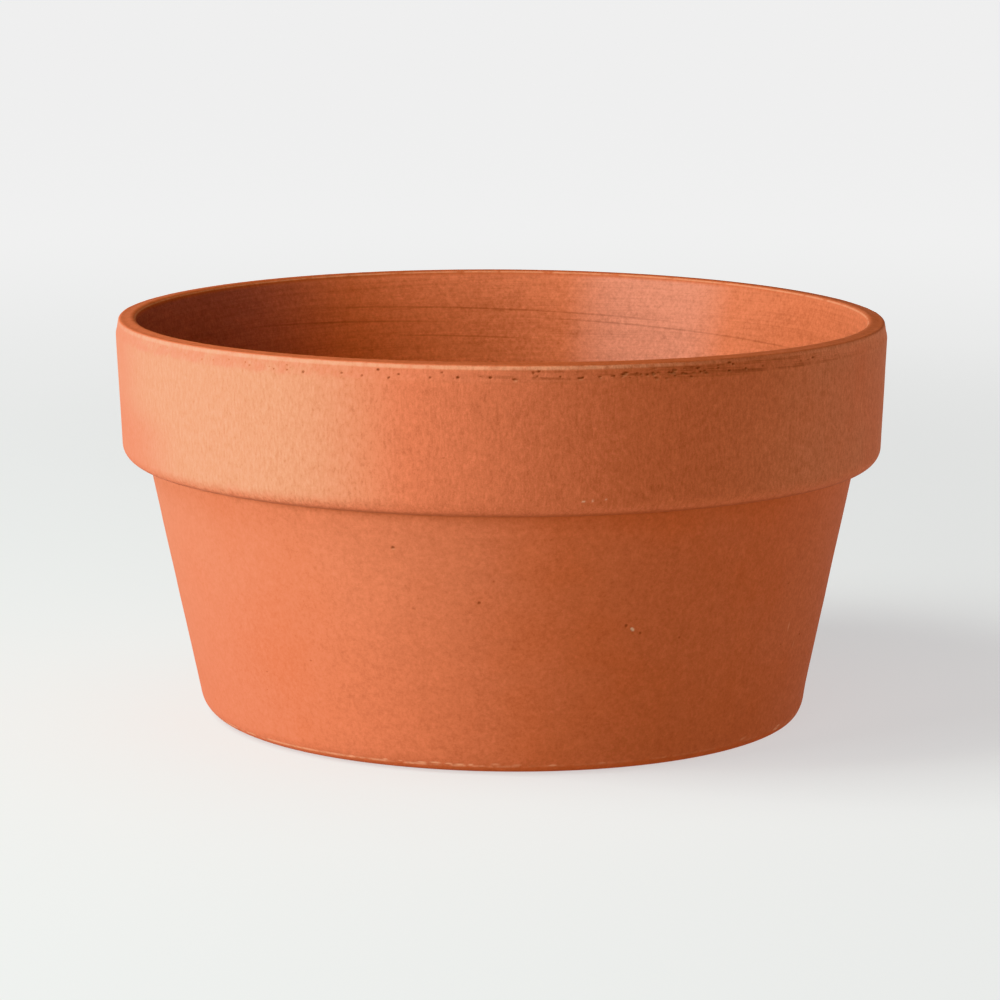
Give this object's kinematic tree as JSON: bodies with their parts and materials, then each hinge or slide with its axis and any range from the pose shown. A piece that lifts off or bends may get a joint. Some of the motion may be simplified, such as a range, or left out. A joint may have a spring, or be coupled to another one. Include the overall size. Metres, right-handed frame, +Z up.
{
  "type": "terracotta half pot",
  "caption": "Low round unglazed terracotta plant pot with tapered wall, thick collar, bevelled lip, flat standing ring and central drain hole.",
  "frame": {"origin": "centre of the plane that the pot stands on, on the pot's own axis", "axes": "+Z up along the pot's turning axis, towards its open mouth; X and Y are alike because the pot is round"},
  "size_m": [0.25, 0.25, 0.13],
  "materials": {
    "terracotta": "matt unglazed fired clay"
  },
  "bodies": {
    "root": {"pot": "terracotta"}
  },
  "joints": []
}
